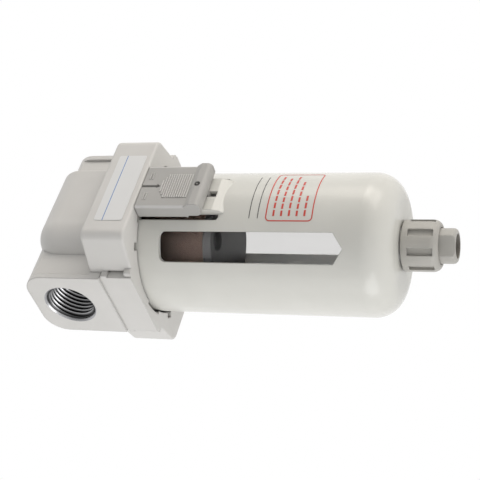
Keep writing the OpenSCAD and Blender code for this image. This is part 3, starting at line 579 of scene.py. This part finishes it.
def ink_line(maker, path, width, closed=False):
    """A printed line of one width along a path of (along, z) points."""
    count = len(path)
    sides = []
    for i in range(count):
        before = path[i - 1] if closed or i else path[i]
        after = path[(i + 1) % count] if closed or i < count - 1 else path[i]
        run = Vector((after[0] - before[0], after[1] - before[1])).normalized() * width / 2
        sides.append([(path[i][0] - side * run.y, path[i][1] + side * run.x) for side in (-1, 1)])
    rows = []
    for left, right in sides:
        rows.append([maker.verts.new(on_guard(*point)) for point in (
            (*left, ink_proud), (*right, ink_proud), (*right, -ink_sunk), (*left, -ink_sunk))])
    last = count if closed else count - 1
    for i in range(last):
        lower, upper = rows[i], rows[(i + 1) % count]
        for k in range(4):
            maker.faces.new((lower[k], lower[(k + 1) % 4], upper[(k + 1) % 4], upper[k]))
    if not closed:
        maker.faces.new(rows[0])
        maker.faces.new(rows[-1])


def straight(first, last):
    """Points between two ends, close enough to follow the guard's curve."""
    longest_step = 1.2 * MM
    steps = max(1, round(math.dist(first, last) / longest_step))
    return [(first[0] + (last[0] - first[0]) * i / steps,
             first[1] + (last[1] - first[1]) * i / steps) for i in range(steps + 1)]


def rounded_frame(left, right, low, high, r):
    """A closed path round a rectangle with rounded corners."""
    path = []
    for centre_x, centre_z, start in ((right - r, high - r, 90), (right - r, low + r, 0),
                                      (left + r, low + r, -90), (left + r, high - r, -180)):
        path += [(centre_x + r * math.cos(math.radians(start - step)),
                  centre_z + r * math.sin(math.radians(start - step))) for step in range(0, 91, 15)]
    full = []
    for i, point in enumerate(path):
        full += straight(path[i - 1], point)[1:]
    return full


def ink(name, colour):
    made, tree, shader = new_finish(name, Roughness=0.4)
    skin = use_group(tree, mould_skin, Grain=2400.0, Patch=300.0)
    thin = tuple(channel * 0.8 for channel in colour)
    tree.links.new(blend_colours(tree, skin.outputs["Tone"], thin, colour),
                   shader.inputs["Base Color"])
    emboss(tree, shader, skin.outputs["Height"], strength=0.1, depth=0.05 * MM)
    return made


red_ink = ink("red_ink", (0.62, 0.07, 0.05))
black_ink = ink("black_ink", (0.05, 0.05, 0.055))

panel_left, panel_right = -11.6 * MM, 16.2 * MM
panel_low, panel_high = -122.6 * MM, -103.9 * MM
panel_corner_r = 1.6 * MM
panel_line_width = 0.45 * MM
maker = bmesh.new()
ink_line(maker, rounded_frame(panel_left, panel_right, panel_low, panel_high, panel_corner_r),
         panel_line_width, closed=True)
link_mesh("printed_frame", maker, "bowl_unit", "guard_plastic", red_ink, smooth=False)

panel_margin = 2 * MM
row_drop = 3.0 * MM
row_pitch = 3.15 * MM
row_shares = (1.0, 0.93, 0.97, 0.84, 0.52)
dash_lengths = (2.6 * MM, 2.35 * MM)
dash_gap = 0.8 * MM
dash_width = 0.8 * MM
full_row = panel_right - panel_left - 2 * panel_margin
maker = bmesh.new()
for row, share in enumerate(row_shares):
    z = panel_high - row_drop - row_pitch * row
    dash = dash_lengths[row % 2]
    x = panel_left + panel_margin
    row_end = x + share * full_row
    while x + dash < row_end:
        ink_line(maker, straight((x, z), (x + dash, z)), dash_width)
        x += dash + dash_gap
link_mesh("printed_dashes", maker, "bowl_unit", "guard_plastic", red_ink, smooth=False)

rule_left, rule_right = -10.6 * MM, 12.9 * MM
rule_heights = (-97.0 * MM, -100.5 * MM)
rule_width = 0.3 * MM
maker = bmesh.new()
for z in rule_heights:
    ink_line(maker, straight((rule_left, z), (rule_right, z)), rule_width)
link_mesh("printed_rules", maker, "bowl_unit", "guard_plastic", black_ink, smooth=False)


# ---------------------------------------------------------------- lock button
# A mid-grey acetal slide with a ribbed face and a finger lip, held up by its spring. It
# rides on the guard's tongue and is held on by the head of its guide bar. Its rib crests
# and front corners carry painted highlights, and the dimple of the lip has painted shade.

button_low, button_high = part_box("lock_button")
button_face_y = button_low.y + 1.4 * MM
lip_top_z = button_low.z + 6.8 * MM
rib_front_y = button_face_y - 0.32 * MM
rib_back_y = button_face_y - 0.12 * MM
side_inner_x = button_high.x - 1.1 * MM
side_outer_x = button_high.x - 0.5 * MM
corner_front_y = button_face_y + 0.4 * MM
corner_back_y = button_face_y + 1.1 * MM
dimple_z = button_low.z + 3.4 * MM
dimple_floor_r = 0.9 * MM
dimple_rim_r = 1.35 * MM
acetal_shaded = (0.372, 0.364, 0.348)
acetal_light = (0.408, 0.399, 0.382)
acetal_edge_highlight_and_wear = (0.64, 0.63, 0.61)
acetal_corner_highlight = (0.66, 0.65, 0.64)
acetal_rib_highlight = (0.56, 0.55, 0.53)
acetal_crease_shade = (0.16, 0.155, 0.15)
dimple_painted_shade = (0.10, 0.095, 0.09)

acetal, tree, shader = new_finish("grey_acetal", Specular_IOR_Level=0.45)
skin = use_group(tree, mould_skin, Grain=2300.0, Patch=70.0)
edges = use_group(tree, edge_soften, Radius=0.5 * MM, Reach=0.3)
shade_in_creases = use_group(tree, painted_crease_shade, Reach=0.9 * MM)
place = object_place(tree)
above_lip = calc(tree, "GREATER_THAN", place.outputs["Z"], lip_top_z)
rib_crest_highlight = both(tree, above_lip, spread(
    tree, place.outputs["Y"], rib_front_y, rib_back_y, 1.0, 0.0))
near_side = both(tree, above_lip, spread(
    tree, calc(tree, "ABSOLUTE", place.outputs["X"]), side_inner_x, side_outer_x))
front_corner_highlight = both(tree, near_side, spread(
    tree, place.outputs["Y"], corner_front_y, corner_back_y, 0.85, 0.0))
dimple_rise = calc(tree, "SUBTRACT", place.outputs["Z"], dimple_z)
dimple_r = distance(tree, dimple_rise, place.outputs["X"])
in_dimple = spread(tree, dimple_r, dimple_floor_r, dimple_rim_r, 0.75, 0.0)
tone = blend_colours(tree, stretch(tree, skin.outputs["Tone"]), acetal_shaded, acetal_light)
# Edges are lighter from wear and a painted highlight, and creases have painted shade
tone = blend_colours(tree, faint(tree, edges.outputs["Mask"], strength=0.5), tone, acetal_edge_highlight_and_wear)
tone = blend_colours(tree, faint(tree, shade_in_creases.outputs["Mask"], strength=0.5), tone, acetal_crease_shade)
# Painted highlight on the crests of the ribs
tone = blend_colours(tree, rib_crest_highlight, tone, acetal_rib_highlight)
# Painted highlight along the front corners above the lip
tone = blend_colours(tree, front_corner_highlight, tone, acetal_corner_highlight)
# Painted shade in the dimple of the lip
tone = blend_colours(tree, in_dimple, tone, dimple_painted_shade)
tree.links.new(tone, shader.inputs["Base Color"])
polish(tree, shader, skin.outputs["Tone"], brightest=0.38, dullest=0.5)
emboss(tree, shader, skin.outputs["Height"], strength=0.12, depth=0.1 * MM,
       normal=edges.outputs["Normal"])
dress("lock_button", acetal)


# ---------------------------------------------------------------- lock spring
# Seven turns of thin stainless wire, held between a ledge on the guard and the roof of the
# button's pocket. In the real filter it shortens by the button's travel; here it has one length.

spring_low, spring_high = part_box("lock_spring")
spring_turns = 7
turn_steps = 32
wire_steps = 10
wire_r = 0.2 * MM
coil_r = (spring_high.x - spring_low.x) / 2 - wire_r
spring_y = (spring_low.y + spring_high.y) / 2
spring_length = spring_high.z - spring_low.z
coil_rise = spring_length - 2 * wire_r
rings = []
for step in range(spring_turns * turn_steps + 1):
    turn = math.tau * step / turn_steps
    wire_z = spring_low.z + wire_r + coil_rise * step / (spring_turns * turn_steps)
    ring = []
    for k in range(wire_steps):
        round_wire = math.tau * k / wire_steps
        r = coil_r + wire_r * math.cos(round_wire)
        ring.append((r * math.cos(turn), spring_y + r * math.sin(turn),
                     wire_z + wire_r * math.sin(round_wire)))
    rings.append(ring)
maker = bmesh.new()
sweep(maker, rings)
spring = link_mesh("button_spring", maker, "bowl_unit", "steel", stainless)
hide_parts("lock_spring")
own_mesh(spring)


# ---------------------------------------------------------------- drain knob and outlet
# Warm grey acetal: the knob turns on the barrel and its slots give grip, and the outlet is
# pressed into the barrel below it, with two flats for a spanner and a thread for a fitting.

outlet_bore_r = 4.88 * MM
outlet_wall_r = 5.0 * MM
knob_shaded = (0.388, 0.376, 0.348)
knob_light = (0.434, 0.421, 0.390)
knob_edge_highlight_and_wear = (0.6, 0.59, 0.56)
knob_crease_shade = (0.20, 0.19, 0.17)
outlet_bore_painted_shade = (0.10, 0.085, 0.07)

warm_acetal, tree, shader = new_finish("warm_grey_acetal", Specular_IOR_Level=0.45)
skin = use_group(tree, mould_skin, Grain=2300.0, Patch=90.0)
edges = use_group(tree, edge_soften, Radius=0.6 * MM, Reach=0.3)
shade_in_creases = use_group(tree, painted_crease_shade, Reach=0.9 * MM)
axis_r = bowl_axis_place(tree)[0]
in_outlet_bore_shade = spread(tree, axis_r, outlet_bore_r, outlet_wall_r, 0.7, 0.0)
tone = blend_colours(tree, stretch(tree, skin.outputs["Tone"]), knob_shaded, knob_light)
# Edges are lighter from wear and a painted highlight, and creases have painted shade
tone = blend_colours(tree, faint(tree, edges.outputs["Mask"], strength=0.7), tone, knob_edge_highlight_and_wear)
tone = blend_colours(tree, faint(tree, shade_in_creases.outputs["Mask"], strength=0.35), tone, knob_crease_shade)
# Painted shade inside the outlet's bore
tone = blend_colours(tree, in_outlet_bore_shade, tone, outlet_bore_painted_shade)
tree.links.new(tone, shader.inputs["Base Color"])
polish(tree, shader, skin.outputs["Tone"], brightest=0.38, dullest=0.5)
emboss(tree, shader, skin.outputs["Height"], strength=0.12, depth=0.1 * MM,
       normal=edges.outputs["Normal"])
for name in ("drain_knob", "drain_outlet"):
    dress(name, warm_acetal)


# ---------------------------------------------------------------- studio
# A white room, dimmer on the side that the camera looks from, with four soft lights round
# the filter. A pale floor lies well below, because the filter hangs from its bracket screws.

floor_z = -0.46
floor_half = 3.0
maker = bmesh.new()
bmesh.ops.create_grid(maker, x_segments=2, y_segments=2, size=floor_half)
mesh = bpy.data.meshes.new("studio_floor")
maker.to_mesh(mesh)
maker.free()
floor = bpy.data.objects.new("studio_floor", mesh)
floor.location.z = floor_z
bpy.context.scene.collection.objects.link(floor)
pale, tree, shader = new_finish("pale_floor", Base_Color=(0.86, 0.86, 0.86, 1.0), Roughness=0.8)
mesh.materials.append(pale)

dim_side = (-0.34, -0.94, 0.0)
room_bright = 0.95
room_dim = 0.31
seen_through_bowl = 0.74
lit_through_bowl = 3.5
backdrop = 1.0
world = bpy.data.worlds.new("studio_world")
bpy.context.scene.world = world
world.use_nodes = True
tree = world.node_tree
background = tree.nodes["Background"]
path = put(tree, "ShaderNodeLightPath")
towards_dim = put(tree, "ShaderNodeVectorMath", {
    0: put(tree, "ShaderNodeTexCoord").outputs["Generated"], 1: dim_side},
    operation="DOT_PRODUCT").outputs["Value"]
room = spread(tree, towards_dim, 0.0, 1.0, room_bright, room_dim)
after_bounce = calc(tree, "GREATER_THAN", path.outputs["Diffuse Depth"], 0.5)
through = put(tree, "ShaderNodeMix", {
    0: after_bounce, 2: seen_through_bowl, 3: lit_through_bowl}).outputs[0]
room = put(tree, "ShaderNodeMix", {
    0: path.outputs["Is Transmission Ray"], 2: room, 3: through}).outputs[0]
room = put(tree, "ShaderNodeMix", {
    0: path.outputs["Is Camera Ray"], 2: room, 3: backdrop}).outputs[0]
tree.links.new(room, background.inputs["Strength"])
background.inputs["Color"].default_value = (1.0, 1.0, 1.0, 1.0)

white_light = (1.0, 1.0, 1.0)
warm_light = (1.0, 0.93, 0.85)
cream_light = (1.0, 0.95, 0.88)
middle = (cad_low + cad_high) / 2


def soft_light(name, place, width, height, power, colour):
    """An oval lamp that faces the middle of the filter."""
    lamp = bpy.data.lights.new(name, "AREA")
    lamp.color = colour
    lamp.shape = "ELLIPSE"
    lamp.size = width
    lamp.size_y = height
    lamp.energy = power
    made = bpy.data.objects.new(name, lamp)
    made.location = place
    made.rotation_euler = (middle - Vector(place)).to_track_quat("-Z", "Y").to_euler()
    made.visible_camera = False
    bpy.context.scene.collection.objects.link(made)


soft_light("left_light", (-0.85, 0.25, 0.05),
           width=0.5, height=0.5, power=0.3, colour=white_light)
soft_light("right_light", (0.72, -0.62, 0.0),
           width=0.5, height=0.5, power=1.1, colour=warm_light)
soft_light("low_left_light", (-0.41, 0.155, -0.42),
           width=0.34, height=0.75, power=1.8, colour=white_light)
soft_light("low_right_light", (0.37, -0.38, -0.32),
           width=0.34, height=0.75, power=1.8, colour=cream_light)

# The camera looks up from the front left, and is turned on its side
camera_place = (-0.29958, -0.34967, -0.25759)
yaw = math.radians(-40.76)
pitch = math.radians(20.75)
roll = math.radians(0.68)
film_width = 36.0
focal_share = 2.469375
forward = Vector((-math.sin(yaw) * math.cos(pitch), math.cos(yaw) * math.cos(pitch),
                  math.sin(pitch)))
level_right = forward.cross(Vector((0, 0, 1))).normalized()
level_up = level_right.cross(forward)
right = math.cos(roll) * level_right + math.sin(roll) * level_up
up = math.cos(roll) * level_up - math.sin(roll) * level_right
camera_data = bpy.data.cameras.new("camera")
camera_data.sensor_width = film_width
camera_data.lens = film_width * focal_share
camera = bpy.data.objects.new("camera", camera_data)
turned = Matrix((-up, right, -forward)).transposed()
camera.matrix_world = Matrix.Translation(camera_place) @ turned.to_4x4()
bpy.context.scene.collection.objects.link(camera)
bpy.context.scene.camera = camera
bpy.context.scene.view_settings.view_transform = "Standard"
